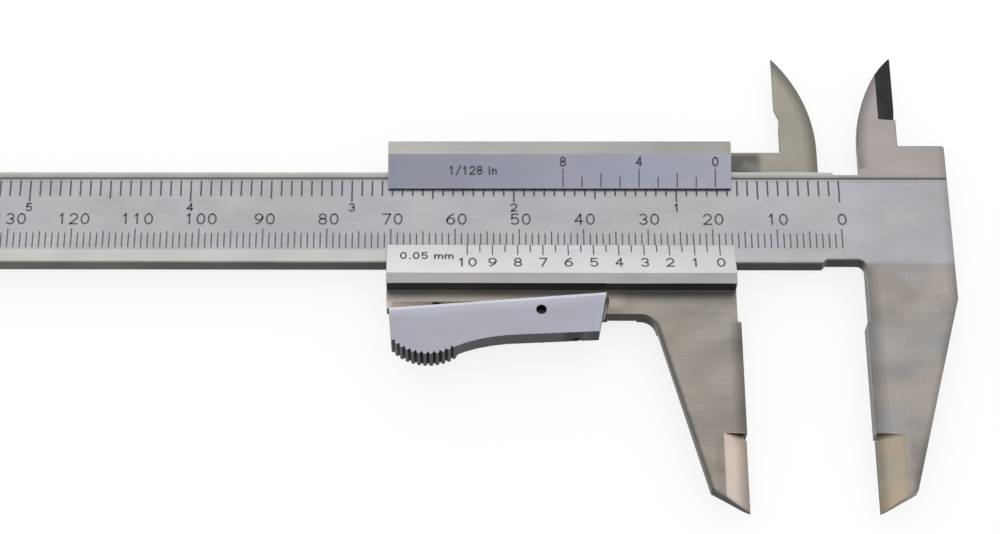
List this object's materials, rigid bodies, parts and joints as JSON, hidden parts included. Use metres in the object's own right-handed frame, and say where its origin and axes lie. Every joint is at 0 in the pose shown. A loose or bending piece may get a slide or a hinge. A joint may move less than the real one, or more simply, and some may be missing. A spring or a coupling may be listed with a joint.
{
  "type": "sliding caliper",
  "caption": "Left-handed vernier caliper with outside and inside jaws, a depth bar and a sprung thumb-lever brake on the slider.",
  "frame": {"origin": "centre of the flat part of the fixed outside measuring face, at mid thickness of the jaws", "axes": "+X along the beam from its far end to the fixed jaws, +Y across the beam towards the inside jaws, +Z out of the graduated face"},
  "size_m": [0.2481, 0.0783, 0.0073],
  "materials": {
    "satin_chrome": "satin chrome plate",
    "ground_steel": "fine ground, uncoated",
    "lever_steel": "satin, slightly blue",
    "screw_steel": "dark oiled steel",
    "spring_steel": "drawn wire",
    "gib_brass": "rolled strip",
    "scale_filling": "black filling in the cut lines and numbers of the scales"
  },
  "bodies": {
    "beam": {"main_beam": "satin_chrome", "end_stop_plate": "ground_steel", "end_stop_screws": "screw_steel"},
    "slider": {"slider_body": "ground_steel", "inch_vernier_plate": "satin_chrome", "inch_plate_screws": "screw_steel", "mm_vernier_plate": "satin_chrome", "mm_plate_screws": "screw_steel", "gib_strip": "gib_brass", "gib_screws": "screw_steel", "depth_bar": "ground_steel", "depth_bar_screws": "screw_steel", "lever_pin": "screw_steel", "lever_washer": "gib_brass", "lever_spring": "spring_steel"},
    "lever": {"thumb_lever": "lever_steel", "lever_adjusting_screw": "screw_steel"},
    "brake": {"brake_plunger": "ground_steel", "brake_shoe": "gib_brass"}
  },
  "joints": [
    {"name": "slider_slide", "type": "slide", "parent": "beam", "child": "slider", "axis": [-1, 0, 0], "range_m": [-0.01908, 0.1314]},
    {"name": "lever_pivot", "type": "hinge", "parent": "slider", "child": "lever", "pos_m": [-0.04964, 0.01002, 0], "axis": [0, 0, -1], "range_deg": [0, 4.5], "stiffness_Nm_per_rad": 0.3, "springref_deg": -8.59, "deforming": ["lever_spring"]},
    {"name": "brake_release", "type": "slide", "parent": "slider", "child": "brake", "axis": [0, -1, 0], "range_m": [0, 0.00038]}
  ],
  "couplings": [
    {"joint": "brake_release", "follows": "lever_pivot", "m_per_rad": 0.0048}
  ]
}
